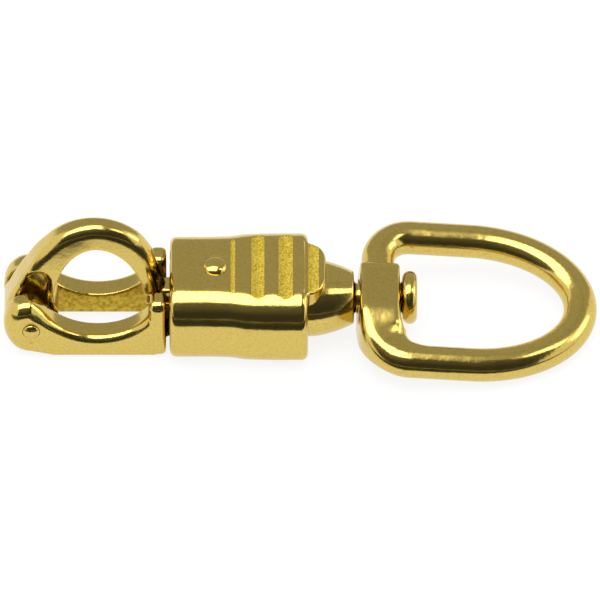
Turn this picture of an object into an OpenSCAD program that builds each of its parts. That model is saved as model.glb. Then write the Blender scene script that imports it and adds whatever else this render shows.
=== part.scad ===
// Swivel panic snap: a cast brass quick-release hook, lying on its flat side.
// X runs along the hook, with the jaw at -X and the loop at +X. Z is up.
// The origin is the middle of the locking sleeve's flat bottom.

/* [Jaw] */
// Width over the two cheeks
fork_w = 17.9; // [17.2:0.1:18]
// Gap between the cheeks, where the gate swings
jaw_gap = 7.7; // [6.8:0.1:8.6]
// Half length of the oval lobes at the front of the cheeks
lobe_r = 5; // [4.8:0.1:5.3]
// How much more the lobes' half height is
lobe_rise = 1.3; // [1:0.1:1.5]
// Distance of the lobes' middle ahead of the hinge pin
lobe_ahead = 0.6; // [0.4:0.1:0.8]
// Height of the hinge pin above the cheeks' flat bottom
pin_z = 6.9; // [6.6:0.1:7.3]
// Diameter of the hinge pin
pin_d = 3.6; // [3:0.1:4.2]
// Diameter of the dish round the hinge pin's head
dish_d = 5.4; // [5:0.1:5.8]
// Depth of that dish
dish_depth = 0.5; // [0.3:0.1:0.8]
// Height of the hinge pin's domed ends
hinge_dome = 1; // [0.7:0.1:1.2]
// Clear width of the eye between the jaw's ends
eye_w = 18.8; // [17:0.2:22]
// Height of the top of the eye
eye_top = 23.9; // [23:0.1:26]
// Distance from the front of the eye to the hinge pin
pin_back = 4.25; // [3.9:0.05:4.8]
// Extra radius of the hollow in the cheeks' top edge, over half the width of the eye
hollow_over = 3.3; // [3.1:0.1:4]
// Height of the lowest point of that hollow
hollow_z = 5; // [4:0.1:6]
// Rounding of the cheeks' outer edges
cheek_round = 2; // [1.6:0.1:2.2]
// Length of the two blocks behind the jaw
block_l = 3.3; // [2.8:0.1:4]
// Height of the blocks
block_h = 14.6; // [13.6:0.1:15.2]
// Width over the blocks
block_w = 18.2; // [18.1:0.1:19]

/* [Gate] */
// Thickness of the arch at its crown
crown_t = 5.9; // [5.2:0.1:6.4]
// Width of the arch at its crown
crown_w = 5.1; // [4.6:0.1:5.6]
// Lean of the arch's crown towards the hinge
arch_lean = 0.6; // [0:0.1:1]
// Height of the tongue
tongue_h = 4.2; // [3.4:0.1:4.4]
// Width of the tongue
tongue_w = 4.6; // [3.6:0.1:4.8]
// Reach of the tongue under the sleeve's front edge
tongue_catch = 0.7; // [0.5:0.05:0.8]
// Radius of the knuckle round the hinge pin
knuckle_r = 5.5; // [5:0.1:5.6]
// Thickness of the web left between the two side pockets of the foot
pocket_web = 4.4; // [4:0.1:5]

/* [Sleeve] */
// Length of the locking sleeve without its thumb tab
sleeve_l = 28; // [26:0.5:30]
// Width of the sleeve at its front
sleeve_w = 24; // [22.5:0.5:26]
// Swell of each side of the sleeve towards its back
sleeve_swell = 1; // [0.4:0.1:1.2]
// Corner radius of the sleeve's section
sleeve_corner = 5.5; // [4.5:0.1:6]
// Rounding of the sleeve's end edges
sleeve_edge = 1.3; // [0.8:0.1:1.6]
// Wall of the sleeve under its bore
sleeve_floor = 0.9; // [0.8:0.1:1.2]
// Wall of the sleeve over its bore
sleeve_roof = 1.9; // [1.7:0.1:2.5]
// Reach of the thumb tab behind the sleeve
tab_l = 3.6; // [2.6:0.1:3.8]
// Width of the thumb tab
tab_w = 15; // [12:0.5:16]
// Thickness of the thumb tab
tab_t = 4.5; // [3.5:0.1:5]
// Step of the thumb tab below the sleeve's top
tab_step = 0.5; // [0.3:0.1:0.8]
// Width of the two thumb grooves
groove_w = 2.75; // [2.2:0.05:3.2]
// Depth of the thumb grooves
groove_depth = 0.55; // [0.4:0.05:0.7]
// Distance from the sleeve's middle back to the first thumb groove
groove_x = 3.9; // [3:0.1:4.4]
// Distance between neighbouring grooves
groove_pitch = 5.6; // [5:0.1:6]
// Width of the narrow line in front of the thumb grooves
line_w = 0.8; // [0.6:0.1:1]
// Distance from the sleeve's middle forward to that line
line_ahead = 1.2; // [0:0.1:1.2]

/* [Sleeve pin and spring] */
// Diameter of the sleeve pin's shaft
stop_d = 4; // [3.4:0.1:4.4]
// Diameter of the sleeve pin's domed head
stop_head_d = 5.5; // [5:0.1:6]
// Height of the domed head
stop_head_h = 1.3; // [1:0.1:1.6]
// Distance from the sleeve's middle forward to the sleeve pin
stop_ahead = 4.8; // [4:0.1:5.4]
// Diameter of the spring's wire
wire_d = 0.7; // [0.5:0.05:0.8]
// Number of turns of the spring
spring_turns = 7; // [6:1:8]
// Depth of the slot in the shank that the pin and spring sit in
slot_depth = 5.9; // [5.6:0.1:6.2]
// Thickness of the bell's front wall behind the spring
spring_seat = 0.8; // [0.6:0.1:1.5]

/* [Shank and swivel] */
// Width of the bell
bell_w = 16.4; // [15.6:0.1:16.8]
// Height of the bell
bell_h = 14; // [13.4:0.1:14.4]
// Length of the bell's straight part
bell_straight = 3.5; // [3:0.1:4]
// Length of the bell's curved end
bell_nose = 8.8; // [8:0.1:9.6]
// Reach of the bell behind the thumb tab
bell_reach = 5.7; // [5.4:0.1:6.4]
// Diameter of the bell at its back end
neck_d = 10.6; // [9.6:0.1:11.2]
// Width of the shank
shank_w = 11; // [10:0.1:11.6]
// Diameter of the swivel stem
stem_d = 6; // [5:0.1:6.4]
// Diameter of the button on the stem
button_d = 10.8; // [10.2:0.1:12]
// Thickness of the button
button_t = 3.1; // [2.6:0.1:3.6]

/* [Loop] */
// Diameter of the loop's round bar
bar_d = 6.8; // [6:0.1:7.4]
// Inner width of the loop
loop_inner_w = 24.6; // [22.5:0.1:26]
// Length of the loop from the middle of its boss to the outside of its nose
loop_l = 44.6; // [42:0.1:48]
// Length of the curved nose, along the bar's middle
nose_l = 22.3; // [19:0.1:24]
// Radius of the loop's two front corners, along the bar's middle
loop_corner = 6.6; // [6:0.1:8]
// Length of the boss along the stem
boss_l = 8.1; // [7.6:0.1:8.8]
// Width of the boss
boss_w = 12.5; // [11.5:0.1:13.5]
// Height of the boss
boss_h = 10.4; // [9.8:0.1:10.8]
// Corner radius of the boss's section
boss_corner = 2.4; // [1.6:0.1:3.6]
// Droop of the loop's nose, from the play of its hole on the stem
loop_droop = 5.5; // [5:0.1:5.6]
// Roll of the loop, with its near side down on the table
loop_roll = 7.8; // [4:0.1:7.9]

/* [Clearances] */
// Gap between the gate and each cheek
gate_gap = 0.2; // [0.15:0.05:0.4]
// Gap between the gate's bore and the hinge pin
hinge_play = 0.08; // [0.03:0.01:0.1]
// Gap round a pin that is fixed in its hole
seat_play = 0.02; // [0.01:0.01:0.05]
// Gap between the sleeve's bore and the bell
slide_gap = 0.3; // [0.3:0.05:0.4]
// Gap between the blocks and the sleeve
front_gap = 0.7; // [0.5:0.1:1]
// Gap between the tongue and what lies under it
tongue_gap = 0.3; // [0.3:0.05:0.5]
// Gap on each side of the sleeve pin and the spring in their slot
slot_gap = 0.3; // [0.3:0.05:0.4]
// Gap round the stem in the loop's hole, once the loop has drooped
stem_gap = 0.17; // [0.12:0.01:0.3]
// Gap on each end of the boss, once the loop has drooped
boss_gap = 0.33; // [0.3:0.01:0.45]

/* [Hidden] */
brass = "goldenrod";
steel = "silver";
overlap = 0.6;
corner_steps = 6;
fine = 64;

// Places along X, from the sleeve's middle towards the jaw
sleeve_x0 = -sleeve_l / 2;
block_x1 = sleeve_x0 - front_gap;
block_x0 = block_x1 - block_l;
eye_wall = 0.95;
block_inset = 0.06;
block_corner = 1.8;
block_edge = 1;
eye_x = block_x0 - eye_wall - eye_w / 2;
pin_x = eye_x - eye_w / 2 - pin_back;

// The swivel axis is the axis of the sleeve's bore
bore_w = bell_w + 2 * slide_gap;
bore_h = bell_h + 2 * slide_gap;
sleeve_h = sleeve_floor + bore_h + sleeve_roof;
axis_z = sleeve_floor + bore_h / 2;
bell_corner = bell_h / 2 - 0.6;

// Side pockets of the gate's foot: a small round at the top and a larger one at the foot
pocket_top_r = 2.6;
pocket_foot_r = 1.5 * pocket_top_r;
pocket_top = [pin_x + pocket_top_r / 2, pin_z + 3.5 * pocket_top_r];
pocket_foot = [pin_x, pin_z + pocket_top_r];

// Hollow in the cheeks: its middle, and where it meets the lobe and the block
hollow_x = eye_x - 0.25;
hollow_r = eye_w / 2 + hollow_over;
hollow_cz = hollow_z + hollow_r;
lobe_lift = 0.3;
lobe_x = pin_x - lobe_ahead;
lobe_z = pin_z + lobe_lift;
lobe_low = 258;
cheek_x1 = block_x0 + 1.2;
bottom_share = 0.5;
lobe_steps = 16;
hollow_steps = 24;

// Gate arch: an ellipse for the inside, with the bar's thickness outside it
arch_z = pin_z + 1.1;
arch_rise = eye_top - arch_z;
gate_w = jaw_gap - 2 * gate_gap;
foot_t = pin_back + knuckle_r - 0.5;
arch_start = 12;
arch_end = 176;
tongue_z = pin_z + 1.2;
tongue_x1 = sleeve_x0 + tongue_catch;
tongue_x0 = block_x0 - eye_wall;

// Shank, its slot, and the pin and spring in it
shank_z0 = axis_z - bell_h / 2 + 1.4;
shank_z1 = axis_z + 2.7;
shank_front_z = tongue_z - tongue_gap;
bell_x1 = sleeve_x0 + sleeve_l + tab_l + bell_reach;
bell_x0 = bell_x1 - bell_nose - bell_straight;
stop_x = -stop_ahead;
slot_w = stop_d + 2 * slot_gap;
slot_x0 = stop_x - slot_w / 2;
slot_x1 = bell_x0 - spring_seat;
slot_z = shank_z1 - slot_depth;
stop_z0 = slot_z + slot_gap;
spring_r = (stop_d - wire_d) / 2;
spring_x0 = stop_x + stop_d / 2 + wire_d / 2 + 0.05;
spring_x1 = slot_x1 - wire_d / 2 - 0.05;
recess_depth = 0.35;

// Where the sleeve's sides swell, and the shape of its thumb tab
swell_x0 = -7;
swell_l = 15;
tab_corner = 4.5;
tab_edge = 0.8;

// Loop and button, from the play that the droop needs
boss_reach = boss_l / 2 * cos(loop_droop) + boss_h / 2 * sin(loop_droop);
loop_x = bell_x1 + boss_gap + boss_reach;
button_x = loop_x + boss_reach + boss_gap;
boss_edge = 0.8;
loop_hole_r = stem_d / 2 + boss_l / 2 * tan(loop_droop) + stem_gap;
bar_y = (loop_inner_w + bar_d) / 2;
nose_x = loop_l - bar_d / 2 - nose_l;

// Eased step from 0 to 1
function ease(t) = t <= 0 ? 0 : t >= 1 ? 1 : t * t * (3 - 2 * t);

// Ring of a rounded rectangle that stands across X
function ring(x, y, z, w, h, r) = [
    for (c = [0:3], i = [0:corner_steps])
        let(a = 90 * c + 90 * i / corner_steps,
            sy = c == 0 || c == 3 ? 1 : -1,
            sz = c < 2 ? 1 : -1)
        [x, y + sy * (w / 2 - r) + r * cos(a), z + sz * (h / 2 - r) + r * sin(a)]
];

// Stations of a bar along X whose end edges are rounded: place and inset
function stations(x0, x1, edge, middle = []) = concat(
    [for (a = [90:-22.5:0]) [x0 + edge * (1 - sin(a)), edge * (1 - cos(a))]],
    [for (x = middle) [x, 0]],
    [for (a = [0:22.5:90]) [x1 - edge * (1 - sin(a)), edge * (1 - cos(a))]]
);

// Solid through rings of equally many points; cap lists the faces that close the first ring
module skin(rings, closed = false, cap = undef) {
    n = len(rings[0]);
    m = len(rings);
    first = closed ? [] : is_undef(cap) ? [[for (j = [0:n - 1]) j]] : cap;
    last = closed ? m - 1 : m - 2;
    sides = [
        for (i = [0:last], j = [0:n - 1], half = [0:1])
            let(k = (i + 1) % m, l = (j + 1) % n)
            half == 0 ? [i * n + j, k * n + l, i * n + l] : [i * n + j, k * n + j, k * n + l]
    ];
    second = [for (f = first) [for (k = [len(f) - 1:-1:0]) (m - 1) * n + f[k]]];
    polyhedron([for (r = rings, p = r) p], concat(sides, first, second), convexity = 8);
}

// Rounded bar along X with rounded end edges
module pillow(x0, x1, y, z, w, h, r, edge) {
    skin([for (s = stations(x0, x1, edge)) ring(s[0], y, z, w - 2 * s[1], h - 2 * s[1], r - s[1] * 0.9)]);
}

// Solid of revolution along X from a half profile of [x, radius] points
module turned_x(profile) {
    rotate([0, 90, 0]) rotate_extrude($fn = fine) polygon([for (p = profile) [p[1], p[0]]]);
}

// Half profile of a round-edged disc from x0 to x1
function disc(x0, x1, r, edge) = concat(
    [[x0, 0]],
    [for (a = [90:-15:0]) [x0 + edge * (1 - sin(a)), r - edge * (1 - cos(a))]],
    [for (a = [0:15:90]) [x1 - edge * (1 - sin(a)), r - edge * (1 - cos(a))]],
    [[x1, 0]]
);

// Half profile of a dome of base radius r and height h on a shaft from -depth
function domed_shaft(shaft_r, depth, r, h) = concat(
    [[-depth, 0], [-depth, shaft_r], [0, shaft_r]],
    [for (a = [0:15:90]) [h * sin(a), r * cos(a)]]
);

// Point of a lobe drawn in by d
function lobe_at(d, a) = [lobe_x + (lobe_r - d) * cos(a), lobe_z + (lobe_r + lobe_rise - d) * sin(a)];

// Angle at which the lobe, drawn in by d, meets the hollow, between the angles lo and hi
function lobe_crest(d, lo, hi, steps) =
    let(mid = (lo + hi) / 2, apart = norm(lobe_at(d, mid) - [hollow_x, hollow_cz]))
    steps == 0 ? mid
        : apart > hollow_r + d ? lobe_crest(d, lo, mid, steps - 1)
        : lobe_crest(d, mid, hi, steps - 1);

// Outline of a cheek, drawn in by d: round the lobe, along the bottom, and back along the hollow
function cheek_outline(d) =
    let(hr = hollow_r + d,
        crest = lobe_crest(d, 45, 90, 24),
        crest_p = lobe_at(d, crest),
        a0 = -acos((cheek_x1 - hollow_x) / hr),
        a1 = atan2(crest_p[1] - hollow_cz, crest_p[0] - hollow_x),
        x0 = pin_x + lobe_r * 0.9)
    concat(
        [for (i = [0:lobe_steps]) lobe_at(d, crest + (lobe_low - crest) * i / lobe_steps)],
        [for (i = [0:hollow_steps]) [x0 + (cheek_x1 - x0) * i / hollow_steps, d * bottom_share]],
        [for (i = [0:hollow_steps - 1]) let(a = a0 + (a1 - a0) * i / hollow_steps)
            [hollow_x + hr * cos(a), hollow_cz + hr * sin(a)]]
    );

// Faces that close that outline: one for the lobe, and a strip under the hollow
cheek_cap =
    let(low = lobe_steps + 1, high = lobe_steps + 2 + hollow_steps, last = high + hollow_steps - 1)
    concat(
        [concat([low + 1, last], [for (i = [0:low]) i])],
        [for (i = [0:hollow_steps - 2]) [high + i, high + i + 1, high - 2 - i, high - 1 - i]]
    );

module cheek(side) {
    inner = jaw_gap / 2;
    outer = fork_w / 2;
    bevel = 0.3;
    layers = concat(
        [[inner, bevel], [inner + bevel, 0]],
        [for (a = [0:15:90]) [outer - cheek_round * (1 - sin(a)), cheek_round * (1 - cos(a))]]
    );
    rings = [for (l = layers) [for (p = cheek_outline(l[1])) [p[0], side * l[0], p[1]]]];
    difference() {
        skin(side < 0 ? rings : [for (i = [len(rings) - 1:-1:0]) rings[i]], cap = cheek_cap);
        translate([pin_x, side * fork_w / 2, pin_z]) rotate([90, 0, 0]) {
            cylinder(h = fork_w, r = pin_d / 2 + seat_play, center = true, $fn = fine);
            cylinder(h = 2 * dish_depth, r = dish_d / 2, center = true, $fn = fine);
        }
    }
}

// Blocks whose inner faces stand a little back from those of the cheeks
module blocks() {
    w = (block_w - jaw_gap) / 2 - block_inset;
    for (side = [-1, 1])
        pillow(block_x0, block_x1, side * (block_w - w) / 2, block_h / 2, w, block_h,
            block_corner, block_edge);
}

// Web between the cheeks, shank in the sleeve, and the slot for the pin and spring
module shank() {
    translate([block_x0 - 0.4, -jaw_gap / 2 - overlap, overlap])
        cube([block_l, jaw_gap + 2 * overlap, shank_front_z - overlap]);
    translate([block_x1 - overlap, -shank_w / 2, shank_z0])
        cube([bell_x0 - block_x1 + 2 * overlap, shank_w, shank_front_z - shank_z0]);
    translate([slot_x0 - 2.5, -shank_w / 2, shank_z0])
        cube([bell_x0 - slot_x0 + 2.5 + overlap, shank_w, shank_z1 - shank_z0]);
}

module bell() {
    taper = [for (i = [0:8]) let(t = i / 8) [bell_x1 - bell_nose * (1 - t), 1 - pow(t, 1.7)]];
    rings = concat(
        [ring(bell_x0, 0, axis_z, bell_w - 1, bell_h - 1, bell_corner - 0.4)],
        [ring(bell_x0 + 0.5, 0, axis_z, bell_w, bell_h, bell_corner)],
        [for (s = taper)
            ring(s[0], 0, axis_z,
                neck_d + (bell_w - neck_d) * s[1],
                neck_d + (bell_h - neck_d) * s[1],
                neck_d / 2 - 0.02 + (bell_corner - neck_d / 2) * s[1])]
    );
    skin(rings);
}

module fork_body() {
    color(brass) {
        cheek(-1);
        cheek(1);
        blocks();
        difference() {
            shank();
            translate([slot_x0, -slot_w / 2, slot_z])
                cube([slot_x1 - slot_x0, slot_w, sleeve_h]);
        }
        bell();
        translate([0, 0, axis_z]) {
            translate([bell_x1 - 1, 0, 0]) rotate([0, 90, 0])
                cylinder(h = button_x - bell_x1 + 2, r = stem_d / 2, $fn = fine);
            turned_x(disc(button_x, button_x + button_t, button_d / 2, button_t * 0.46));
        }
    }
}

// Bar of the gate at angle a: thickness, width and outer corner radius
function arch_t(a) = lookup(a, [[10, crown_t * 0.66], [31, crown_t * 0.7], [45, crown_t * 0.87],
    [60, crown_t * 0.97], [90, crown_t], [128, crown_t * 0.98], [150, crown_t * 1.12],
    [165, foot_t * 0.86], [176, foot_t]]);
function arch_w(a) = lookup(a, [[90, crown_w], [150, gate_w - 0.4], [165, gate_w]]);
function arch_r(a) = lookup(a, [[100, crown_w / 2 - 0.1], [165, 1.4]]);

// Ring of the gate's bar at angle a: flat inside, round outside
function arch_ring(a) =
    let(p = [eye_x + eye_w / 2 * cos(a) - arch_lean * pow(sin(a), 2), arch_z + arch_rise * sin(a)],
        v = [cos(a) / eye_w * 2, sin(a) / arch_rise],
        n = v / norm(v),
        t = arch_t(a),
        w = arch_w(a) / 2,
        ri = 0.5,
        ro = arch_r(a),
        section = concat(
            [for (b = [180:30:270]) [ri + ri * cos(b), -w + ri + ri * sin(b)]],
            [for (b = [-90:15:0]) [t - ro + ro * cos(b), -w + ro + ro * sin(b)]],
            [for (b = [0:15:90]) [t - ro + ro * cos(b), w - ro + ro * sin(b)]],
            [for (b = [90:30:180]) [ri + ri * cos(b), w - ri + ri * sin(b)]]))
    [for (s = section) [p[0] + n[0] * s[0], s[1], p[1] + n[1] * s[0]]];

module gate() {
    color(brass)
    difference() {
        union() {
            difference() {
                skin([for (a = [arch_start:4:arch_end]) arch_ring(a)]);
                for (side = [-1, 1])
                    translate([0, side * (pocket_web + gate_w) / 2, 0]) rotate([90, 0, 0])
                        linear_extrude(gate_w, center = true)
                            hull() {
                                translate(pocket_top) circle(r = pocket_top_r, $fn = 32);
                                translate(pocket_foot) circle(r = pocket_foot_r, $fn = 32);
                            }
            }
            translate([pin_x, 0, pin_z]) rotate([90, 0, 0])
                cylinder(h = gate_w, r = knuckle_r, center = true, $fn = fine);
            pillow(tongue_x0, tongue_x1, 0, tongue_z + tongue_h / 2, tongue_w, tongue_h, 0.9, 0.5);
        }
        translate([pin_x, 0, pin_z]) rotate([90, 0, 0])
            cylinder(h = fork_w, r = pin_d / 2 + hinge_play, center = true, $fn = fine);
    }
}

module hinge_pin() {
    color(brass)
    translate([pin_x, 0, pin_z])
        for (side = [-1, 1])
            rotate([0, 0, side * 90])
                translate([fork_w / 2 - dish_depth, 0, 0])
                    turned_x(domed_shaft(pin_d / 2, fork_w / 2 - dish_depth + overlap, pin_d / 2, hinge_dome));
}

// Width of the sleeve at x
function sleeve_width(x) = sleeve_w + 2 * sleeve_swell * ease((x - swell_x0) / swell_l);

module groove(x, z_top, w, depth) {
    r = (w * w / 4 + depth * depth) / (2 * depth);
    translate([x, 0, z_top - depth + r]) rotate([90, 0, 0])
        cylinder(h = sleeve_w * 2, r = r, center = true, $fn = fine);
}

module locking_sleeve() {
    x1 = sleeve_x0 + sleeve_l;
    run = stations(sleeve_x0, x1, sleeve_edge, [for (x = [swell_x0:1.5:swell_x0 + swell_l]) x]);
    tab_z1 = sleeve_h - tab_step;
    color(brass)
    difference() {
        union() {
            skin([for (s = run)
                ring(s[0], 0, sleeve_h / 2, sleeve_width(s[0]) - 2 * s[1], sleeve_h - 2 * s[1],
                    sleeve_corner - s[1] * 0.9)]);
            hull()
                for (side = [-1, 1], d = [0, tab_edge])
                    translate([x1 + tab_l - tab_corner, side * (tab_w / 2 - tab_corner), tab_z1 - tab_t])
                        cylinder(h = tab_t - tab_edge + d, r = tab_corner - d, $fn = 32);
        }
        skin([
            ring(sleeve_x0 - 1, 0, axis_z, bore_w + 2, bore_h + 2, bell_corner + slide_gap + 1),
            ring(sleeve_x0 + 0.4, 0, axis_z, bore_w, bore_h, bell_corner + slide_gap),
            ring(x1 + tab_l + 1, 0, axis_z, bore_w, bore_h, bell_corner + slide_gap)
        ]);
        for (i = [0:1])
            groove(groove_x + i * groove_pitch, sleeve_h, groove_w, groove_depth);
        groove(groove_x + 2 * groove_pitch, tab_z1, groove_w * 0.8, groove_depth * 0.7);
        groove(-line_ahead, sleeve_h, line_w, groove_depth / 2);
        translate([stop_x, 0, axis_z])
            cylinder(h = sleeve_h, r = stop_d / 2 + seat_play, $fn = fine);
        translate([stop_x, 0, sleeve_h - recess_depth])
            cylinder(h = 1, r = stop_head_d / 2 + 0.3, $fn = fine);
    }
}

module sleeve_pin() {
    z1 = sleeve_h - recess_depth;
    color(brass)
    translate([stop_x, 0, z1]) rotate([0, -90, 0])
        turned_x(domed_shaft(stop_d / 2, z1 - stop_z0, stop_head_d / 2, stop_head_h));
}

module sleeve_spring() {
    steps = 16;
    sides = 6;
    z = stop_z0 + stop_d / 2;
    color(steel)
    skin([for (i = [0:spring_turns * steps])
        let(a = 360 * i / steps, x = spring_x0 + (spring_x1 - spring_x0) * i / (spring_turns * steps))
        [for (j = [0:sides - 1])
            let(b = -360 * j / sides, r = spring_r + wire_d / 2 * cos(b))
            [x + wire_d / 2 * sin(b), r * cos(a), z + r * sin(a)]]]);
}

// Stations of the loop's bar: place and outward direction in the loop's own plane
function loop_side(side) = concat(
    [for (y = [0, bar_y - loop_corner - 0.5]) [[0, side * y], [-1, 0]]],
    [for (a = [180:-11.25:90])
        [[loop_corner * (1 + cos(a)), side * (bar_y - loop_corner * (1 - sin(a)))],
            [cos(a), side * sin(a)]]],
    [for (i = [0:11]) let(a = 90 - 90 * i / 12, v = [cos(a) / nose_l, sin(a) / bar_y])
        [[nose_x + nose_l * cos(a), side * bar_y * sin(a)], [v[0], side * v[1]] / norm(v)]]
);

module swivel_loop() {
    near = loop_side(1);
    far = loop_side(-1);
    path = concat(near, [[[nose_x + nose_l, 0], [1, 0]]], [for (i = [len(far) - 1:-1:1]) far[i]]);
    sides = 20;
    color(brass)
    translate([loop_x, 0, axis_z]) rotate([loop_roll, 0, 0]) rotate([0, loop_droop, 0])
        difference() {
            union() {
                skin([for (s = path) [for (j = [0:sides - 1])
                    let(b = 360 * j / sides, c = bar_d / 2 * cos(b))
                    [s[0][0] + s[1][0] * c, s[0][1] + s[1][1] * c, bar_d / 2 * sin(b)]]], closed = true);
                pillow(-boss_l / 2, boss_l / 2, 0, 0, boss_w, boss_h, boss_corner, boss_edge);
            }
            rotate([0, 90, 0])
                cylinder(h = 2 * boss_l, r = loop_hole_r, center = true, $fn = fine);
        }
}

fork_body();
gate();
hinge_pin();
locking_sleeve();
sleeve_pin();
sleeve_spring();
swivel_loop();
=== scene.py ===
import math

import bmesh
import bpy
from mathutils import Matrix, Vector


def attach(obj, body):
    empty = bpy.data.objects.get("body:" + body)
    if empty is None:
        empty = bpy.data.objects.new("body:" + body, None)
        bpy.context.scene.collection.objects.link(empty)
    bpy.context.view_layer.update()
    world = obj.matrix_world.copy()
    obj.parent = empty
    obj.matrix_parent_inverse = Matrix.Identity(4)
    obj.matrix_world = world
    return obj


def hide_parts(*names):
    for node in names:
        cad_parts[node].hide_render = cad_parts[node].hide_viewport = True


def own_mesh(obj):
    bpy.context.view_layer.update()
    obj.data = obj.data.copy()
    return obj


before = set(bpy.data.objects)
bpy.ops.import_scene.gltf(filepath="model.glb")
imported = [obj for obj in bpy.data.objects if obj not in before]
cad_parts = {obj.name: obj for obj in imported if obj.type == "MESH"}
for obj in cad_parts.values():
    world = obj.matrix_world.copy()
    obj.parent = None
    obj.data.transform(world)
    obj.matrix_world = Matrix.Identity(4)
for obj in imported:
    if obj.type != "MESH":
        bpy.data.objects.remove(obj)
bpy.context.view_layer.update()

# Fork body
# One brass casting: two cheeks with a hollow top edge, the blocks behind them, the shank that
# carries the sleeve, and the bell. The swivel stem is turned and its end is riveted to a button.
MM = 0.001
PIN_X, PIN_Z = -42.0, 6.9
JAW_GAP, FORK_W = 7.7, 17.9
LOBE_X, LOBE_Z, LOBE_L, LOBE_H, LOBE_LOW = -42.6, 7.2, 5.0, 6.3, 258
HOLLOW_X, HOLLOW_Z, HOLLOW_R = -28.6, 17.7, 12.7
BLOCK_X0, BLOCK_X1, BLOCK_H, BLOCK_W = -18.0, -14.7, 14.6, 18.2
BLOCK_CORNER, BLOCK_EDGE = 1.8, 1
WEB_Z0, WEB_AHEAD = 0.6, 0.4
SHANK_W, SHANK_Z0, SHANK_FRONT_Z, SHANK_Z1, STEP_AHEAD = 11, 2.6, 7.8, 10.9, 2.5
JOIN, BELL_JOIN = 0.6, 1.2
AXIS_Z = 8.2
BELL_X0, BELL_X1, BELL_NOSE = 11.0, 23.3, 8.8
BELL_W, BELL_H, BELL_CORNER, NECK_D, TAPER_POWER = 16.4, 14.0, 6.9, 10.6, 1.7
STEM_D, BUTTON_X, BUTTON_T, BUTTON_D, RIM_SHARE = 6.0, 33.02, 3.1, 10.8, 0.48
SLOT = ((-7.1, -2.3, 5), (10.2, 2.3, 14))


def rounded_ring(x, y, z, w, h, r, steps=8):
    """Points of a rounded rectangle that stands across X."""
    points = []
    for corner, (sy, sz) in enumerate(((1, 1), (-1, 1), (-1, -1), (1, -1))):
        for i in range(steps + 1):
            a = math.radians(90 * corner + 90 * i / steps)
            across, up = sy * (w / 2 - r) + r * math.cos(a), sz * (h / 2 - r) + r * math.sin(a)
            points.append((x, y + across, z + up))
    return points


def edged(x0, x1, edge, middle=()):
    """Stations of a bar whose end edges are rounded: place and inset."""
    turns = [math.radians(a) for a in (0, 15, 30, 45, 60, 75, 90)]
    front = [(x0 + edge * (1 - math.cos(a)), edge * (1 - math.sin(a))) for a in turns]
    back = [(x1 - edge * (1 - math.cos(a)), edge * (1 - math.sin(a))) for a in reversed(turns)]
    return front + [(x, 0) for x in middle] + back


def loft(bm, rings, closed=False):
    """Skins rings of equally many points, each extruded from the one before it."""
    verts = [bm.verts.new(p) for p in rings[0]]
    edges = [bm.edges.new((a, b)) for a, b in zip(verts, verts[1:] + verts[:1])]
    first = edges
    for ring in rings[1:]:
        made = bmesh.ops.extrude_edge_only(bm, edges=edges)["geom"]
        new = {e for e in made if isinstance(e, bmesh.types.BMVert)}
        verts = [next(e.other_vert(v) for e in v.link_edges if e.other_vert(v) in new) for v in verts]
        edges = [e for e in made if isinstance(e, bmesh.types.BMEdge) and set(e.verts) <= set(verts)]
        for vert, point in zip(verts, ring):
            vert.co = point
    if closed:
        bmesh.ops.bridge_loops(bm, edges=first + edges)
    else:
        bmesh.ops.holes_fill(bm, edges=first, sides=0)
        bmesh.ops.holes_fill(bm, edges=edges, sides=0)


def rounded_bar(bm, x0, x1, y, z, w, h, r, edge):
    """Bar along X with a rounded section and rounded end edges."""
    loft(bm, [rounded_ring(x, y, z, w - 2 * d, h - 2 * d, r - 0.9 * d) for x, d in edged(x0, x1, edge)])


def turned(bm, profile, place):
    """Turned part: a half profile of (along, radius) points spun round X, then placed."""
    part = bmesh.new()
    verts = [part.verts.new((x, 0, r)) for x, r in profile]
    edges = [part.edges.new(pair) for pair in zip(verts, verts[1:])]
    bmesh.ops.spin(
        part, geom=verts + edges, cent=(0, 0, 0), axis=(1, 0, 0), angle=math.tau, steps=96, use_merge=True
    )
    bmesh.ops.remove_doubles(part, verts=part.verts, dist=1e-4)
    bmesh.ops.transform(part, matrix=place, verts=part.verts)
    mesh = bpy.data.meshes.new("turned")
    part.to_mesh(mesh)
    part.free()
    bm.from_mesh(mesh)
    bpy.data.meshes.remove(mesh)


def dome(r, h, shaft_r, depth):
    """Half profile of a domed head of radius r and height h on a shaft that reaches down to -depth."""
    shaft = [(-depth, 0), (-depth, shaft_r), (0, shaft_r)]
    arc = [math.radians(a) for a in range(0, 91, 6)]
    return shaft + [(h * math.sin(a), r * math.cos(a)) for a in arc]


def round_bar(bm, axis, centre, r, length):
    """Plain cylinder along an axis, for holes and knuckles."""
    quarter = math.pi / 2
    turns = {"X": Matrix.Rotation(quarter, 4, "Y"), "Y": Matrix.Rotation(quarter, 4, "X"), "Z": Matrix()}
    place = Matrix.Translation(centre) @ turns[axis]
    bmesh.ops.create_cone(bm, cap_ends=True, segments=128, radius1=r, radius2=r, depth=length, matrix=place)


def box_bar(bm, low, high):
    """Plain block between two corners."""
    size = [b - a for a, b in zip(low, high)]
    centre = [(a + b) / 2 for a, b in zip(low, high)]
    bmesh.ops.create_cube(bm, size=1, matrix=Matrix.Translation(centre) @ Matrix.Diagonal((*size, 1)))


def dish_ball(bm, centre, r):
    """Large ball that cuts a shallow dish."""
    place = Matrix.Translation(centre)
    bmesh.ops.create_uvsphere(bm, u_segments=160, v_segments=80, radius=r, matrix=place)


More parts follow.
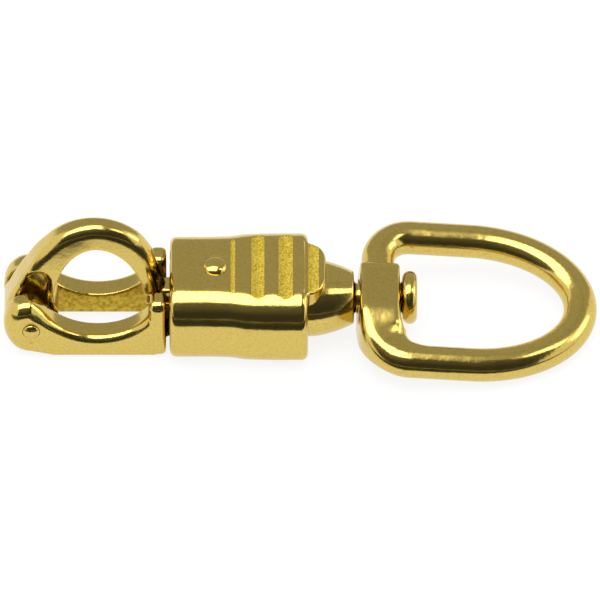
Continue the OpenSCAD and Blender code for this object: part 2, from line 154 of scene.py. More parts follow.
def to_object(name, bm):
    """New object from a bmesh in millimetres, with outward faces."""
    bmesh.ops.recalc_face_normals(bm, faces=bm.faces)
    bmesh.ops.scale(bm, vec=(MM, MM, MM), verts=bm.verts)
    mesh = bpy.data.meshes.new(name)
    bm.to_mesh(mesh)
    bm.free()
    mesh.shade_smooth()
    piece = bpy.data.objects.new(name, mesh)
    bpy.context.scene.collection.objects.link(piece)
    return piece


def settle(piece):
    """Applies the modifiers of a piece to its mesh."""
    graph = bpy.context.evaluated_depsgraph_get()
    done = bpy.data.meshes.new_from_object(piece.evaluated_get(graph))
    piece.modifiers.clear()
    old = piece.data
    piece.data = done
    bpy.data.meshes.remove(old)


def cast(piece, voxel, passes):
    """Runs the parts of a casting together and softens its edges, as tumbling does."""
    remesh = piece.modifiers.new("one casting", "REMESH")
    remesh.mode = "VOXEL"
    remesh.voxel_size = voxel * MM
    remesh.use_smooth_shade = True
    soft = piece.modifiers.new("tumbled", "SMOOTH")
    soft.factor = 0.5
    soft.iterations = passes
    settle(piece)


def cut(piece, bm):
    """Cuts a tool's shape out of a piece."""
    tool = to_object("tool", bm)
    boolean = piece.modifiers.new("cut", "BOOLEAN")
    boolean.operation = "DIFFERENCE"
    boolean.solver = "MANIFOLD"
    boolean.object = tool
    settle(piece)
    bpy.data.objects.remove(tool)


def dress(piece, body, slot, nodes, *finishes):
    """Gives a piece its finishes and its body, and hides the nodes that it stands for. Its slot is not
    used.
    """
    piece.data.set_sharp_from_angle(angle=math.radians(40))
    piece.data.materials.clear()
    for finish in finishes:
        piece.data.materials.append(finish)
    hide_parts(*nodes)
    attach(piece, body)


def second_finish(piece, test):
    """Gives the faces that pass a test, on centre and normal, the piece's second finish."""
    for face in piece.data.polygons:
        if test(face.center / MM, face.normal):
            face.material_index = 1


def hex_colour(code):
    """Linear colour of an sRGB hex value."""
    parts = [int(code[i:i + 2], 16) / 255 for i in (1, 3, 5)]
    return (*[c / 12.92 if c <= 0.04045 else ((c + 0.055) / 1.055) ** 2.4 for c in parts], 1)


def add(material, kind, inputs=None, **settings):
    """Adds a node with its settings, and sets or links its inputs."""
    node = material.node_tree.nodes.new(kind)
    for key, value in settings.items():
        setattr(node, key, value)
    for name, value in (inputs or {}).items():
        if isinstance(value, bpy.types.NodeSocket):
            material.node_tree.links.new(value, node.inputs[name])
        else:
            node.inputs[name].default_value = value
    return node


# Cast brass, tumbled and buffed: a yellow mirror with slow waves, orange peel and a few fine pits
tumbled_brass = bpy.data.materials.new("tumbled_cast_brass")
tumbled_brass.use_nodes = True
shader = tumbled_brass.node_tree.nodes["Principled BSDF"]
shader.inputs["Metallic"].default_value = 1
shader.inputs["Roughness"].default_value = 0.16
place = add(tumbled_brass, "ShaderNodeTexCoord").outputs["Object"]
WAVE_MM, PEEL_MM = 4, 0.5
wave_scale, peel_scale = 1 / (WAVE_MM * MM), 1 / (PEEL_MM * MM)
waves = add(tumbled_brass, "ShaderNodeTexNoise", {"Vector": place, "Scale": wave_scale, "Detail": 2})
peel = add(tumbled_brass, "ShaderNodeTexNoise", {"Vector": place, "Scale": peel_scale, "Detail": 3})
tone = add(tumbled_brass, "ShaderNodeValToRGB", {"Fac": peel.outputs[0]})
tone.color_ramp.elements[0].position = 0.3
tone.color_ramp.elements[0].color = hex_colour("#CBB15A")
tone.color_ramp.elements[1].position = 0.6
tone.color_ramp.elements[1].color = hex_colour("#D8BE66")
tumbled_brass.node_tree.links.new(tone.outputs[0], shader.inputs["Base Color"])
slow = add(
    tumbled_brass, "ShaderNodeBump", {"Height": waves.outputs[0], "Strength": 0.6, "Distance": 0.09 * MM}
)
fine = add(
    tumbled_brass,
    "ShaderNodeBump",
    {"Height": peel.outputs[0], "Normal": slow.outputs[0], "Strength": 0.6, "Distance": 0.012 * MM},
)
tumbled_brass.node_tree.links.new(fine.outputs[0], shader.inputs["Normal"])

# Brass as it left the sand, where no buff reaches: matt, mottled brown and yellow. The mottle and the matt
# roughness are the rough cast face, but the colour is set darker than the buffed brass as painted shade
# between the cheeks.
unbuffed_brass_painted_shade = bpy.data.materials.new("unbuffed_brass_with_painted_shade")
unbuffed_brass_painted_shade.use_nodes = True
shader = unbuffed_brass_painted_shade.node_tree.nodes["Principled BSDF"]
shader.inputs["Metallic"].default_value = 1
shader.inputs["Roughness"].default_value = 0.42
place = add(unbuffed_brass_painted_shade, "ShaderNodeTexCoord").outputs["Object"]
SAND_MM = 0.7
sand = add(unbuffed_brass_painted_shade, "ShaderNodeTexNoise", {"Vector": place, "Scale": 1 / (SAND_MM * MM), "Detail": 4})
tone = add(unbuffed_brass_painted_shade, "ShaderNodeValToRGB", {"Fac": sand.outputs[0]})
tone.color_ramp.elements[0].position = 0.35
tone.color_ramp.elements[0].color = hex_colour("#A5861F")
tone.color_ramp.elements[1].position = 0.62
tone.color_ramp.elements[1].color = hex_colour("#CFB244")
unbuffed_brass_painted_shade.node_tree.links.new(tone.outputs[0], shader.inputs["Base Color"])
rough = add(unbuffed_brass_painted_shade, "ShaderNodeBump", {"Height": sand.outputs[0], "Strength": 1, "Distance": 0.07 * MM})
unbuffed_brass_painted_shade.node_tree.links.new(rough.outputs[0], shader.inputs["Normal"])


def ease(t):
    """Eased step from 0 to 1."""
    t = min(1, max(0, t))
    return t * t * (3 - 2 * t)


LOBE_STEPS, FLOOR_STEPS, HOLLOW_STEPS = 24, 8, 28
CHEEK_POINTS = LOBE_STEPS + FLOOR_STEPS + HOLLOW_STEPS + 2
CHEEK_IN_BLOCK, FLOOR_SHARE = 1.2, 0.5


def lobe_point(d, a):
    """Point of the oval lobe, drawn in by d, at angle a."""
    return LOBE_X + (LOBE_L - d) * math.cos(a), LOBE_Z + (LOBE_H - d) * math.sin(a)


def cheek_ring(side, y, d):
    """Outline of a cheek, drawn in by d, at a distance y from the middle, with its crest rounded."""
    near_crest = {0, 1, CHEEK_POINTS - 2, CHEEK_POINTS - 1}
    hollow = HOLLOW_R + d
    low, high = 45, 90
    for _ in range(24):
        crest = (low + high) / 2
        x, z = lobe_point(d, math.radians(crest))
        if math.hypot(x - HOLLOW_X, z - HOLLOW_Z) > hollow:
            high = crest
        else:
            low = crest
    points = []
    for i in range(LOBE_STEPS + 1):
        px, pz = lobe_point(d, math.radians(crest + (LOBE_LOW - crest) * i / LOBE_STEPS))
        points.append((px, side * y, pz))
    start, end = PIN_X + 0.9 * LOBE_L, BLOCK_X0 + CHEEK_IN_BLOCK
    for i in range(FLOOR_STEPS + 1):
        points.append((start + (end - start) * i / FLOOR_STEPS, side * y, d * FLOOR_SHARE))
    a0 = -math.acos((end - HOLLOW_X) / hollow)
    a1 = math.atan2(z - HOLLOW_Z, x - HOLLOW_X)
    for i in range(HOLLOW_STEPS):
        a = a0 + (a1 - a0) * i / HOLLOW_STEPS
        points.append((HOLLOW_X + hollow * math.cos(a), side * y, HOLLOW_Z + hollow * math.sin(a)))
    for _ in range(8):
        rounded = list(points)
        for i in near_crest:
            before, after = points[i - 1], points[(i + 1) % CHEEK_POINTS]
            rounded[i] = tuple((u + v) / 2 for u, v in zip(before, after))
        points = rounded
    return points


# The outer edge is rounded more round the lobe than along the hollow, by a share for each point
HOLLOW_ROUND, LOBE_ROUND = 1.7, 3.0
bm = bmesh.new()
inner, outer = JAW_GAP / 2, FORK_W / 2
lobe_share = [ease(1 - (i - 14) / 12) if i < 34 else ease((i - 55) / 8) for i in range(CHEEK_POINTS)]
for side in (-1, 1):
    rings = [cheek_ring(side, y, d) for y, d in ((inner, 0.3), (inner + 0.1, 0.1), (inner + 0.3, 0))]
    for a in range(0, 91, 10):
        out, back = 1 - math.sin(math.radians(a)), 1 - math.cos(math.radians(a))
        tight = cheek_ring(side, outer - HOLLOW_ROUND * out, HOLLOW_ROUND * back)
        wide = cheek_ring(side, outer - LOBE_ROUND * out, LOBE_ROUND * back)
        rings.append([tuple(Vector(u).lerp(Vector(v), f)) for u, v, f in zip(tight, wide, lobe_share)])
    loft(bm, rings)
    y, w = (JAW_GAP + BLOCK_W) / 4, (BLOCK_W - JAW_GAP) / 2
    rounded_bar(bm, BLOCK_X0, BLOCK_X1, side * y, BLOCK_H / 2, w, BLOCK_H, BLOCK_CORNER, BLOCK_EDGE)
web_y, shank_y, shank_x1 = JAW_GAP / 2 + JOIN, SHANK_W / 2, BELL_X0 + BELL_JOIN
box_bar(bm, (BLOCK_X0 - WEB_AHEAD, -web_y, WEB_Z0), (BLOCK_X1 - WEB_AHEAD, web_y, SHANK_FRONT_Z))
box_bar(bm, (BLOCK_X1 - JOIN, -shank_y, SHANK_Z0), (shank_x1, shank_y, SHANK_FRONT_Z))
box_bar(bm, (SLOT[0][0] - STEP_AHEAD, -shank_y, SHANK_Z0), (shank_x1, shank_y, SHANK_Z1))
rings = [rounded_ring(BELL_X0, 0, AXIS_Z, BELL_W - 1, BELL_H - 1, BELL_CORNER - 0.4)]
rings.append(rounded_ring(BELL_X0 + 0.5, 0, AXIS_Z, BELL_W, BELL_H, BELL_CORNER))
for i in range(17):
    t = i / 16
    s = 1 - t**TAPER_POWER
    w, h = NECK_D + (BELL_W - NECK_D) * s, NECK_D + (BELL_H - NECK_D) * s
    r = NECK_D / 2 - 0.02 + (BELL_CORNER - NECK_D / 2) * s
    rings.append(rounded_ring(BELL_X1 - BELL_NOSE * (1 - t), 0, AXIS_Z, w, h, r))
loft(bm, rings)
round_bar(bm, "X", ((BELL_X1 + BUTTON_X) / 2, 0, AXIS_Z), STEM_D / 2, BUTTON_X - BELL_X1 + 2)
rim = BUTTON_T * RIM_SHARE
turns = [math.radians(a) for a in range(0, 91, 10)]
rounding = [(rim * (1 - math.cos(a)), BUTTON_D / 2 - rim + rim * math.sin(a)) for a in turns]
button = [(BUTTON_X, 0)]
button += [(BUTTON_X + x, r) for x, r in rounding]
button += [(BUTTON_X + BUTTON_T - x, r) for x, r in reversed(rounding)]
button.append((BUTTON_X + BUTTON_T, 0))
turned(bm, button, Matrix.Translation((0, 0, AXIS_Z)))
fork = to_object("fork_casting", bm)
cast(fork, 0.26, 7)
DISH_R, DISH_DEEP, CHEEK_HOLE_R = 3.1, 0.5, 1.82
ball = (DISH_R**2 + DISH_DEEP**2) / (2 * DISH_DEEP)
for side in (-1, 1):
    bm = bmesh.new()
    dish_ball(bm, (PIN_X, side * (FORK_W / 2 - DISH_DEEP + ball), PIN_Z), ball)
    cut(fork, bm)
bm = bmesh.new()
round_bar(bm, "Y", (PIN_X, 0, PIN_Z), CHEEK_HOLE_R, 20)
cut(fork, bm)
bm = bmesh.new()
box_bar(bm, *SLOT)
cut(fork, bm)
dress(fork, "body", "polished_brass", ["fork_body"], tumbled_brass, unbuffed_brass_painted_shade)
# The inner faces of the cheeks get the darker unbuffed brass, whose colour is partly painted shade between
# the cheeks
second_finish(fork, lambda c, n: abs(c.y) < inner + 0.12 and c.x < BLOCK_X1 and abs(n.y) > 0.7)

# Gate
# Cast brass arch that closes the jaw: flat sides, round outside, a round knuckle between the
# cheeks with a pocket in each side of the foot, and a tongue that reaches in under the sleeve's edge.
EYE_X, EYE_W, EYE_TOP, ARCH_Z = -28.35, 18.8, 23.9, 8.0
CROWN_T, CROWN_W, ARCH_LEAN = 5.9, 5.1, 0.6
GATE_W, KNUCKLE_R, GATE_HOLE_R = 7.3, 5.5, 1.88
POCKET_WEB = 4.4
# Rounds of the pocket, from the hinge pin: along, up and radius. Then its depth and flare.
POCKET_TOP, POCKET_FOOT = (1.3, 9.1, 2.6), (0, 2.6, 3.9)
POCKET_SIDE = ((0, -1), (0.15, -0.5), (0.5, -0.15), (0.9, 0), (1.2, 0.25), (1.4, 0.7), (6, 0.8))
FOOT_T = 9.25
TONGUE_X0, TONGUE_X1, TONGUE_Z, TONGUE_H, TONGUE_W = -18.95, -13.3, 8.1, 4.2, 4.6
TONGUE_CORNER, TONGUE_EDGE, INSIDE_ROUND = 0.9, 0.5, 0.5
# Thickness as a share of the crown's, width and outside rounding, each at angles round the arch
ARCH_T = [(10, 0.66), (31, 0.7), (45, 0.87), (60, 0.97), (90, 1), (128, 0.98), (150, 1.12)]
ARCH_T += [(165, 0.86 * FOOT_T / CROWN_T), (176, FOOT_T / CROWN_T)]
ARCH_W = [(90, CROWN_W), (150, GATE_W - 0.4), (165, GATE_W)]
ARCH_ROUND = [(100, 2.2), (165, 1.5)]


def between(a, table):
    """Value at a, straight between the pairs of a table."""
    for (a0, v0), (a1, v1) in zip(table, table[1:]):
        if a <= a1:
            return v0 + (v1 - v0) * max(0, a - a0) / (a1 - a0)
    return table[-1][1]


def arch_ring(a):
    """Section of the arch at angle a: flat inside and at the sides, round outside."""
    turn = math.radians(a)
    rise = EYE_TOP - ARCH_Z
    foot = EYE_X + EYE_W / 2 * math.cos(turn) - ARCH_LEAN * math.sin(turn) ** 2
    p = Vector((foot, 0, ARCH_Z + rise * math.sin(turn)))
    n = Vector((math.cos(turn) / (EYE_W / 2), 0, math.sin(turn) / rise)).normalized()
    t, w = CROWN_T * between(a, ARCH_T), between(a, ARCH_W) / 2
    inside, outside = INSIDE_ROUND, between(a, ARCH_ROUND)
    points = []
    for b0, r, along, across in (
        (180, inside, inside, -w + inside), (270, outside, t - outside, -w + outside),
        (360, outside, t - outside, w - outside), (450, inside, inside, w - inside),
    ):
        for i in range(9):
            b = math.radians(b0 + 90 * i / 8)
            points.append(p + n * (along + r * math.cos(b)) + Vector((0, across + r * math.sin(b), 0)))
    return points


bm = bmesh.new()
loft(bm, [arch_ring(a) for a in range(12, 177, 2)])
round_bar(bm, "Y", (PIN_X, 0, PIN_Z), KNUCKLE_R, GATE_W)
tongue_z = TONGUE_Z + TONGUE_H / 2
rounded_bar(bm, TONGUE_X0, TONGUE_X1, 0, tongue_z, TONGUE_W, TONGUE_H, TONGUE_CORNER, TONGUE_EDGE)
gate = to_object("gate_casting", bm)
cast(gate, 0.2, 2)
for side in (-1, 1):
    bm = bmesh.new()
    rings = []
    for deep, flare in POCKET_SIDE:
        y = side * (POCKET_WEB / 2 + deep)
        ring = []
        for i in range(48):
            a = math.tau * i / 48
            x, z, r = POCKET_TOP if i < 24 else POCKET_FOOT
            r += flare
            ring.append((PIN_X + x + r * math.cos(a), y, PIN_Z + z + r * math.sin(a)))
        rings.append(ring)
    loft(bm, rings)
    cut(gate, bm)
cast(gate, 0.2, 3)
bm = bmesh.new()
round_bar(bm, "Y", (PIN_X, 0, PIN_Z), GATE_HOLE_R, 20)
cut(gate, bm)
dress(gate, "gate", "polished_brass", ["gate"], tumbled_brass)

# Hinge pin
# Brass rivet through both cheeks and the gate's knuckle, its ends peened to low domes that sit in
# shallow dishes.
PIN_D, PIN_DOME = 3.6, 1.0
bm = bmesh.new()
for side in (-1, 1):
    depth = FORK_W / 2 - DISH_DEEP
    turn = Matrix.Translation((PIN_X, side * depth, PIN_Z)) @ Matrix.Rotation(side * math.pi / 2, 4, "Z")
    turned(bm, dome(PIN_D / 2, PIN_DOME, PIN_D / 2, depth - 0.01 * (side + 1)), turn)
rivet = to_object("hinge_rivet", bm)
dress(rivet, "body", "polished_brass", ["hinge_pin"], tumbled_brass)

# Locking sleeve
# Cast brass sleeve, bored to slide over the bell. Its sides swell towards the back, and its top
# has a thumb tab, two wide grooves with sandblasted floors and a narrow line in front of them.
SLEEVE_X0, SLEEVE_X1, SLEEVE_W, SLEEVE_H, SWELL = -14.0, 14.0, 24.0, 17.4, 1.0
SLEEVE_CORNER, TOP_CORNER_SHARE, SLEEVE_EDGE = 5.5, 1.17, 1.3
BORE_W, BORE_H, BORE_CORNER = 17.0, 14.6, 6.7
TAB_X1, TAB_W, TAB_Z1, TAB_T, TAB_CORNER, TAB_EDGE = 17.6, 15, 16.9, 4.5, 4.5, 0.8
GROOVE_W, GROOVE_DEEP = 2.75, 0.55
LINE_W, LINE_DEEP = 0.8, 0.275
GROOVES = [(3.9, SLEEVE_H, GROOVE_W, GROOVE_DEEP), (9.5, SLEEVE_H, GROOVE_W, GROOVE_DEEP),
           (15.1, TAB_Z1, 0.8 * GROOVE_W, 0.7 * GROOVE_DEEP), (-1.2, SLEEVE_H, LINE_W, LINE_DEEP)]
STOP_X, STOP_D, HEAD_D, RECESS_D, RECESS_DEEP = -4.8, 4.0, 5.0, 6.3, 0.4


def sleeve_width(x):
    """Width of the sleeve at x: a slow swell, and a quicker one behind the narrow line."""
    slow_swell, quick_swell = ease((x + 7) / 15), ease((x + 2) / 3.5)
    return SLEEVE_W + 2 * SWELL * (0.6 * slow_swell + 0.4 * quick_swell)


def groove_reach(w):
    """Half width of a groove with its soft shoulders."""
    return w / 2 + min(0.9, 0.35 * w)


def groove_fall(across, deep):
    """Depth of a groove at a share of its half width."""
    return deep * (0.5 + 0.5 * math.cos(math.pi * across)) ** 0.8


bm = bmesh.new()
run = edged(SLEEVE_X0, SLEEVE_X1, SLEEVE_EDGE, [-12 + 0.5 * i for i in range(49)])
rings = []
for x, d in run:
    w, h, r = sleeve_width(x) - 2 * d, SLEEVE_H - 2 * d, SLEEVE_CORNER - 0.9 * d
    ring = rounded_ring(x, 0, SLEEVE_H / 2, w, h, r, 12)
    big = TOP_CORNER_SHARE * r
    for i in range(26):
        side, a = (1, 90 * i / 12) if i < 13 else (-1, 90 + 90 * (i - 13) / 12)
        across, up = big * abs(math.cos(math.radians(a))), big * math.sin(math.radians(a))
        ring[i] = (x, side * (w / 2 - big + across), SLEEVE_H - d - big + up)
    rings.append(ring)
loft(bm, rings)
rings = []
for z, d in edged(TAB_Z1 - TAB_T, TAB_Z1, TAB_EDGE):
    ring = []
    for i in range(40):
        a = math.tau * i / 40
        r = TAB_CORNER - d
        y = (TAB_W / 2 - TAB_CORNER) * (1 if i < 20 else -1)
        ring.append((TAB_X1 - TAB_CORNER + r * math.cos(a), y + r * math.sin(a), z))
    rings.append(ring)
loft(bm, rings)
sleeve = to_object("sleeve_casting", bm)
cast(sleeve, 0.24, 3)
bm = bmesh.new()
mouth = [(SLEEVE_X0 - 1, 2), (SLEEVE_X0 + 0.4, 0), (TAB_X1 + 1, 0)]
loft(bm, [rounded_ring(x, 0, AXIS_Z, BORE_W + d, BORE_H + d, BORE_CORNER + d / 2) for x, d in mouth])
cut(sleeve, bm)
bm = bmesh.new()
for x, top, w, deep in GROOVES:
    shoulder = groove_reach(w)
    rings = []
    for y in (-20, 20):
        ring = [(x + shoulder, y, top + 3), (x - shoulder, y, top + 3)]
        for i in range(33):
            across = -1 + i / 16
            ring.append((x + shoulder * across, y, top - groove_fall(across, deep)))
        rings.append(ring)
    loft(bm, rings)
cut(sleeve, bm)
bm = bmesh.new()
ball = (RECESS_D**2 / 4 + RECESS_DEEP**2) / (2 * RECESS_DEEP)
dish_ball(bm, (STOP_X, 0, SLEEVE_H - RECESS_DEEP + ball), ball)
cut(sleeve, bm)
cast(sleeve, 0.24, 2)
bm = bmesh.new()
round_bar(bm, "Z", (STOP_X, 0, SLEEVE_H), STOP_D / 2 + 0.02, 8)
cut(sleeve, bm)
# Sandblasted brass: an even matt yellow grain, masked off to the groove floors
blasted = bpy.data.materials.new("sandblasted_brass")
blasted.use_nodes = True
shader = blasted.node_tree.nodes["Principled BSDF"]
shader.inputs["Metallic"].default_value = 1
shader.inputs["Roughness"].default_value = 0.5
place = add(blasted, "ShaderNodeTexCoord").outputs["Object"]
GRIT_MM = 0.35
grit = add(blasted, "ShaderNodeTexNoise", {"Vector": place, "Scale": 1 / (GRIT_MM * MM), "Detail": 2})
tone = add(blasted, "ShaderNodeValToRGB", {"Fac": grit.outputs[0]})
tone.color_ramp.elements[0].position = 0.35
tone.color_ramp.elements[0].color = hex_colour("#BC9C22")
tone.color_ramp.elements[1].position = 0.6
tone.color_ramp.elements[1].color = hex_colour("#EFD65C")
blasted.node_tree.links.new(tone.outputs[0], shader.inputs["Base Color"])
peck = add(blasted, "ShaderNodeBump", {"Height": grit.outputs[0], "Strength": 1, "Distance": 0.05 * MM})
blasted.node_tree.links.new(peck.outputs[0], shader.inputs["Normal"])
dress(sleeve, "sleeve", "polished_brass", ["locking_sleeve"], tumbled_brass, blasted)


def in_groove(c, n):
    """Whether a face lies on the floor of a groove, inside its shoulders."""
    for x, top, w, deep in GROOVES:
        if abs(c.x - x) < w / 2 and n.z > 0.3:
            floor = top - groove_fall((c.x - x) / groove_reach(w), deep)
            if abs(c.z - floor) < 0.06:
                return True
    return False


second_finish(sleeve, in_groove)

# Sleeve pin
# Dome-headed brass pin pressed into the sleeve's top. Its end runs in the shank's slot.
STOP_SUNK, STOP_DOME, STOP_END_Z = 0.35, 1.3, 5.3
bm = bmesh.new()
stop_top = SLEEVE_H - STOP_SUNK
turn = Matrix.Translation((STOP_X, 0, stop_top)) @ Matrix.Rotation(-math.pi / 2, 4, "Y")
turned(bm, dome(HEAD_D / 2, STOP_DOME, STOP_D / 2, stop_top - STOP_END_Z), turn)
stop_pin = to_object("sleeve_stop_pin", bm)
dress(stop_pin, "sleeve", "polished_brass", ["sleeve_pin"], tumbled_brass)

# Sleeve spring
# Bright steel wire coiled in the shank's slot behind the pin. It pushes the sleeve forward, and is
# pressed together against the slot's back end as the sleeve is drawn back.
WIRE_D, SPRING_R, SPRING_TURNS, SPRING_X0, SPRING_X1, SPRING_Z = 0.7, 1.65, 7, -2.4, 9.8, 7.3
spring_steel = bpy.data.materials.new("drawn_spring_wire")
spring_steel.use_nodes = True
shader = spring_steel.node_tree.nodes["Principled BSDF"]
shader.inputs["Metallic"].default_value = 1
shader.inputs["Roughness"].default_value = 0.28
shader.inputs["Base Color"].default_value = hex_colour("#C9C9C6")
place = add(spring_steel, "ShaderNodeTexCoord").outputs["Object"]
DRAW_MM = 0.15
draw_scale = 1 / (DRAW_MM * MM)
draw = add(spring_steel, "ShaderNodeTexNoise", {"Vector": place, "Scale": draw_scale, "Detail": 2})
drawn = add(
    spring_steel, "ShaderNodeBump", {"Height": draw.outputs[0], "Strength": 0.4, "Distance": 0.01 * MM}
)
spring_steel.node_tree.links.new(drawn.outputs[0], shader.inputs["Normal"])
bm = bmesh.new()
place = Matrix.Translation((SPRING_X0, 0, SPRING_Z + SPRING_R)) @ Matrix.Rotation(math.pi / 2, 4, "X")
wire = bmesh.ops.create_circle(bm, cap_ends=False, segments=16, radius=WIRE_D / 2, matrix=place)["verts"]
steps = 32 * SPRING_TURNS
bmesh.ops.spin(
    bm,
    geom=wire + bm.edges[:],
    cent=(SPRING_X0, 0, SPRING_Z),
    axis=(1, 0, 0),
    angle=math.tau * SPRING_TURNS,
    steps=steps,
    dvec=((SPRING_X1 - SPRING_X0) / steps, 0, 0),
)
bmesh.ops.holes_fill(bm, edges=[e for e in bm.edges if e.is_boundary], sides=0)
spring = to_object("sleeve_coil_spring", bm)
dress(spring, "body", "spring_steel", ["sleeve_spring"], spring_steel)
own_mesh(spring)

# Swivel loop
# Cast brass D: a round bar bent round a flat-topped boss, which is bored for the stem. The near
# side runs smoothly into the boss, and the far side meets it at a ledge.
LOOP_X, LOOP_DROOP, LOOP_ROLL = 28.16, 5.5, 7.8
BAR_D, BAR_Y, LOOP_CORNER = 6.8, 15.7, 6.6
NOSE_L, NOSE_X = 22.3, 18.9
BOSS_L, BOSS_W, BOSS_H, BOSS_CORNER, BOSS_EDGE = 8.1, 12.5, 10.4, 2.4, 0.8
HOLE_R = 3.56


def bar_ring(x, y, nx, ny):
    """Round section of the bar at x, y, with its outward direction."""
    ring = []
    for i in range(32):
        b = math.tau * i / 32
        c = BAR_D / 2 * math.cos(b)
        ring.append((x + nx * c, y + ny * c, BAR_D / 2 * math.sin(b)))
    return ring


bm = bmesh.new()
half = [(0, 0, -1, 0), (0, 4.5, -1, 0), (0, BAR_Y - LOOP_CORNER - 0.5, -1, 0)]
for i in range(13):
    a = math.radians(180 - 7.5 * i)
    x, y = LOOP_CORNER * (1 + math.cos(a)), BAR_Y - LOOP_CORNER * (1 - math.sin(a))
    half.append((x, y, math.cos(a), math.sin(a)))
for i in range(24):
    a = math.radians(90 - 90 * i / 24)
    n = Vector((math.cos(a) / NOSE_L, math.sin(a) / BAR_Y)).normalized()
    half.append((NOSE_X + NOSE_L * math.cos(a), BAR_Y * math.sin(a), n.x, n.y))
path = half + [(NOSE_X + NOSE_L, 0, 1, 0)] + [(x, -y, nx, -ny) for x, y, nx, ny in reversed(half[1:])]
loft(bm, [bar_ring(*station) for station in path], closed=True)
rounded_bar(bm, -BOSS_L / 2, BOSS_L / 2, 0, 0, BOSS_W, BOSS_H, BOSS_CORNER, BOSS_EDGE)
# Web on the near side: the boss's section, drawn out along the bar and round its corner, with the
# inner corner filled
WEB_START, WEB_OUT, WEB_END, WEB_RUN, FILL_RUN, WEB_STEPS = 3, 5, 23, 11, 8, 32
rings = []
for i in range(WEB_STEPS + 1):
    reach = WEB_START + (WEB_END - WEB_START) * i / WEB_STEPS
    f = ease((reach - WEB_OUT) / WEB_RUN)
    fill = ease((reach - WEB_OUT) / FILL_RUN) * ease((WEB_END - reach) / FILL_RUN)
    w, h = BOSS_L + (BAR_D - BOSS_L) * f + 2 * fill, BOSS_H + (BAR_D - BOSS_H) * f
    r = 1 + (BAR_D / 2 - 1.01) * f
    along = max(0, reach - (BAR_Y - LOOP_CORNER))
    bend = min(along / LOOP_CORNER, math.pi / 2)
    x = LOOP_CORNER * (1 - math.cos(bend)) + max(0, along - LOOP_CORNER * math.pi / 2)
    y = min(reach, BAR_Y - LOOP_CORNER) + LOOP_CORNER * math.sin(bend)
    n = Vector((-math.cos(bend), -math.sin(bend)))
    section = rounded_ring(0, -fill, 0, w, h, r)
    rings.append([(x + n.x * across, -y + n.y * across, up) for _, across, up in section])
loft(bm, rings)
loop_place = Matrix.Translation((LOOP_X, 0, AXIS_Z)) @ Matrix.Rotation(math.radians(LOOP_ROLL), 4, "X")
loop_place = loop_place @ Matrix.Rotation(math.radians(LOOP_DROOP), 4, "Y")
bmesh.ops.transform(bm, matrix=loop_place, verts=bm.verts)
loop = to_object("loop_casting", bm)
cast(loop, 0.25, 6)
bm = bmesh.new()
round_bar(bm, "X", (0, 0, 0), HOLE_R, 2 * BOSS_L)
bmesh.ops.transform(bm, matrix=loop_place, verts=bm.verts)
cut(loop, bm)
dress(loop, "loop", "polished_brass", ["swivel_loop"], tumbled_brass)

# Floor, backdrop and lights
# Plain white studio table under a wide overhead light, with a grey card behind it and black
# cards towards the camera, as metal is lit so that its curves show.
GLOW_SHARE = 0.85
floor_white = bpy.data.materials.new("white_table")
floor_white.use_nodes = True
nodes = floor_white.node_tree.nodes
nodes["Principled BSDF"].inputs["Base Color"].default_value = hex_colour("#F4F4F4")
nodes["Principled BSDF"].inputs["Roughness"].default_value = 1
path = add(floor_white, "ShaderNodeLightPath")
rays = ("Is Camera Ray", "Is Glossy Ray", "Is Transmission Ray")
eye, gloss, clear = [path.outputs[ray] for ray in rays]
seen = add(floor_white, "ShaderNodeMath", {0: eye, 1: gloss}, operation="MAXIMUM")
seen = add(floor_white, "ShaderNodeMath", {0: seen.outputs[0], 1: clear}, operation="MAXIMUM")
share = add(floor_white, "ShaderNodeMath", {0: seen.outputs[0], 1: GLOW_SHARE}, operation="MULTIPLY")
glow = add(floor_white, "ShaderNodeEmission", {"Color": (1, 1, 1, 1), "Strength": 1.0})
paint = nodes["Principled BSDF"].outputs[0]
both = add(floor_white, "ShaderNodeMixShader", {0: share.outputs[0], 1: paint, 2: glow.outputs[0]})
floor_white.node_tree.links.new(both.outputs[0], nodes["Material Output"].inputs["Surface"])
bm = bmesh.new()
bmesh.ops.create_grid(bm, x_segments=1, y_segments=1, size=4000)
table_top = to_object("table_top", bm)
table_top.data.materials.append(floor_white)


def only_reflected(sheet):
    """Hides a card from the camera, and keeps it from lighting matt things and from casting shadows."""
    sheet.visible_camera = False
    sheet.visible_diffuse = False
    sheet.visible_shadow = False


def card(name, from_angle, to_angle, radius, x0, x1, strength):
    """Flat card along X, between two angles over the table, that is seen only in reflections."""
    ends = []
    for a in (from_angle, to_angle):
        a = math.radians(a)
        ends.append((radius * math.cos(a), radius * math.sin(a)))
    material = bpy.data.materials.new(name)
    material.use_nodes = True
    material.node_tree.nodes.clear()
    out = add(material, "ShaderNodeOutputMaterial")
    light = add(material, "ShaderNodeEmission", {"Color": (1, 1, 1, 1), "Strength": strength})
    material.node_tree.links.new(light.outputs[0], out.inputs["Surface"])
    bm = bmesh.new()
    edge = bm.edges.new([bm.verts.new((x, *ends[0])) for x in (x0, x1)])
    made = bmesh.ops.extrude_edge_only(bm, edges=[edge])["geom"]
    move = Vector((0, ends[1][0] - ends[0][0], ends[1][1] - ends[0][1]))
    bmesh.ops.translate(bm, vec=move, verts=[v for v in made if isinstance(v, bmesh.types.BMVert)])
    sheet = to_object(name, bm)
    sheet.data.materials.append(material)
    only_reflected(sheet)


card("grey_backdrop", 2, 58, 900, -900, 900, 0.45)
card("grey_ceiling", 57, 102, 910, -900, 900, 0.4)
card("dark_gap", 57, 70, 905, -900, 140, 0.05)
card("softbox_left", 70, 135, 900, -1000, 140, 4)
card("softbox_right", 80, 125, 900, 420, 900, 3)
card("black_card_front", 101, 179, 912, -900, 900, 0.045)
# Upright softbox past the loop's end, which shows in the faces that look along the hook
bm = bmesh.new()
box_bar(bm, (1000, -150, 230), (1001, 350, 700))
side_card = to_object("softbox_beside", bm)
side_card.data.materials.append(bpy.data.materials["softbox_right"])
only_reflected(side_card)

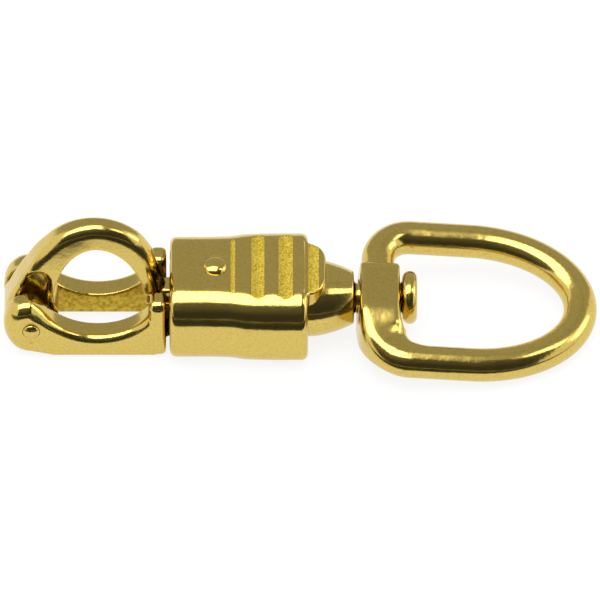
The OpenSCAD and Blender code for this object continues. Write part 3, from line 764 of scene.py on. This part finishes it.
# Black felt on the table in front of the hook, which darkens the low side of each round form
bm = bmesh.new()
box_bar(bm, (-900, -900, 0.4), (900, -31, 0.5))
black_felt = to_object("black_felt", bm)
felt = bpy.data.materials.new("black_felt")
felt.use_nodes = True
felt.node_tree.nodes["Principled BSDF"].inputs["Base Color"].default_value = hex_colour("#202020")
felt.node_tree.nodes["Principled BSDF"].inputs["Roughness"].default_value = 1
black_felt.data.materials.append(felt)
only_reflected(black_felt)

softbox = bpy.data.lights.new("softbox", "AREA")
softbox.shape = "RECTANGLE"
softbox.size = 1.2
softbox.size_y = 1.0
softbox.energy = 8
softbox_lamp = bpy.data.objects.new("softbox", softbox)
softbox_lamp.location = (0, -0.1, 1.0)
softbox_lamp.visible_glossy = False
bpy.context.scene.collection.objects.link(softbox_lamp)

world = bpy.data.worlds.new("white_room")
bpy.context.scene.world = world
world.use_nodes = True
back = world.node_tree.nodes["Background"]
back.inputs["Color"].default_value = (1, 1, 1, 1)
back.inputs["Strength"].default_value = 1

# Camera
# Long lens at 45 degrees over the table, square on to the hook's side.
MM_PER_PIXEL, IMAGE_SIDE = 0.2028, 600
ORIGIN_X, ORIGIN_Y = 239, 326
LENS, SENSOR = 1200, 36
camera = bpy.data.cameras.new("camera")
camera.lens = LENS
camera.sensor_width = SENSOR
distance = IMAGE_SIDE * MM_PER_PIXEL / SENSOR * LENS * MM
aside, above = IMAGE_SIDE / 2 - ORIGIN_X, ORIGIN_Y - IMAGE_SIDE / 2
look = Vector((aside * MM_PER_PIXEL, 0, above * MM_PER_PIXEL * math.sqrt(2))) * MM
look = look + Vector((0, 1, -1)) * (look.z / 2)
camera_object = bpy.data.objects.new("camera", camera)
away = Vector((0, -1, 1)).normalized()
camera_object.location = look + away * distance
camera_object.rotation_mode = "QUATERNION"
camera_object.rotation_quaternion = (-away).to_track_quat("-Z", "Y")
camera.clip_start = 0.1
camera.clip_end = 60
bpy.context.scene.collection.objects.link(camera_object)
bpy.context.scene.camera = camera_object
bpy.context.scene.view_settings.view_transform = "Standard"
